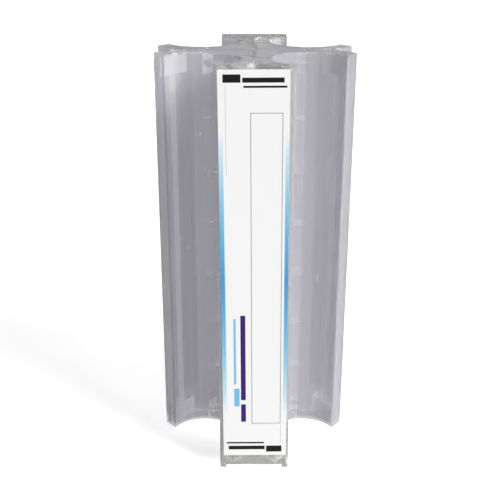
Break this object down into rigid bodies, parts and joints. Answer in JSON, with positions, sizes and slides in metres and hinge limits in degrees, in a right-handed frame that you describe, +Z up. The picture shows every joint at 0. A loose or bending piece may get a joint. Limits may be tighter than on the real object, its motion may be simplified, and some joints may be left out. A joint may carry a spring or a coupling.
{
  "type": "petri dish rack",
  "caption": "Four-armed clear plastic column rack whose half-round bays hold stacks of round petri dishes, with a long label panel on its front.",
  "frame": {"origin": "middle of the column on the surface that it stands on", "axes": "+Z up the column, +Y to the back, the label faces -Y, +X to the right as seen from the label's side"},
  "size_m": [0.1616, 0.1782, 0.3467],
  "materials": {
    "clear_plastic": "lightly frosted clear plastic with a soft gloss",
    "label_card": "smooth coated card with blue side bands and thin grey rules"
  },
  "bodies": {
    "root": {"bay_front_left": "clear_plastic", "bay_front_right": "clear_plastic", "bay_back_left": "clear_plastic", "bay_back_right": "clear_plastic", "front_channel": "clear_plastic", "back_channel": "clear_plastic", "label": "label_card"}
  },
  "joints": []
}
